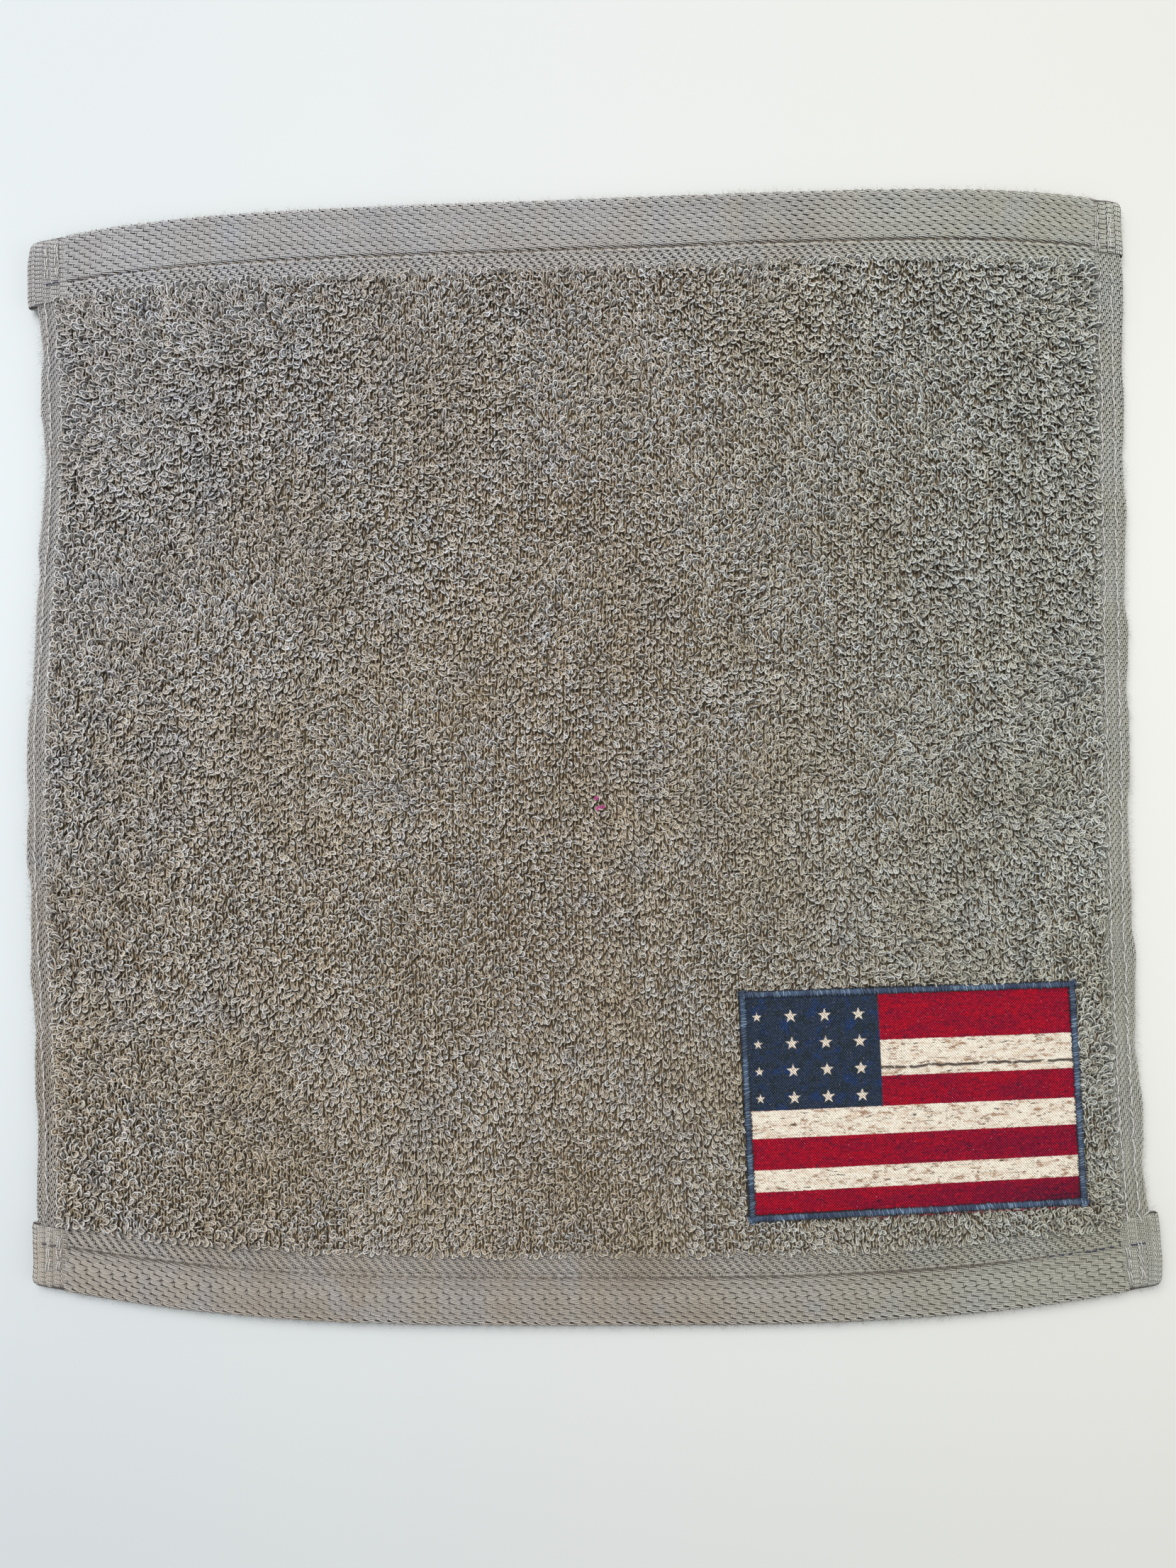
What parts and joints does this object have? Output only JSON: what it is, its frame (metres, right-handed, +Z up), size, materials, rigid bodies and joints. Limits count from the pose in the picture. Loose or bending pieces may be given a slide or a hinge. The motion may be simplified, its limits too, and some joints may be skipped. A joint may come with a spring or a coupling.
{
  "type": "golf towel",
  "caption": "Small square terry towel, laid flat, with woven hem bands, folded and stitched side hems and a sewn-on printed flag patch near one corner.",
  "frame": {"origin": "under the middle of the laid-out cloth, on the surface that it lies on", "axes": "+X across the cloth from left to right, +Y towards the hem farthest from the patch, +Z up out of the patched face"},
  "size_m": [0.336, 0.337, 0.0052],
  "materials": {
    "pile": "looped cotton terry, taupe grey, matt",
    "ground": "plain-woven cotton ground under the loops, matt",
    "band": "dobby-woven flat cotton band with short floats, matt with a slight sheen",
    "hem": "ribbed plain-woven cotton selvedge, folded and sewn, matt",
    "stitch_thread": "pale cotton sewing thread",
    "seam_thread": "dark blue sewing thread along the hem seam",
    "patch_print": "worn printed twill, red, cream and navy, matt",
    "patch_backing": "stiff unbleached cotton backing",
    "patch_thread": "slate blue satin stitch, soft sheen"
  },
  "bodies": {
    "root": {"ground_cloth": "ground", "front_pile": "pile", "back_pile": "pile", "top_hem_band": "band", "bottom_hem_band": "band", "top_flat_strip": "band", "bottom_flat_strip": "band", "left_side_hem": "hem", "right_side_hem": "hem", "top_left_corner_fold": "hem", "top_right_corner_fold": "hem", "bottom_left_corner_fold": "hem", "bottom_right_corner_fold": "hem", "top_hem_seam": "seam_thread", "bottom_hem_seam": "seam_thread", "left_outer_stitches": "stitch_thread", "left_inner_stitches": "stitch_thread", "right_outer_stitches": "stitch_thread", "right_inner_stitches": "stitch_thread", "patch_backing": "patch_backing", "patch_print_cloth": "patch_print", "patch_border_top": "patch_thread", "patch_border_bottom": "patch_thread", "patch_border_left": "patch_thread", "patch_border_right": "patch_thread"}
  },
  "joints": []
}
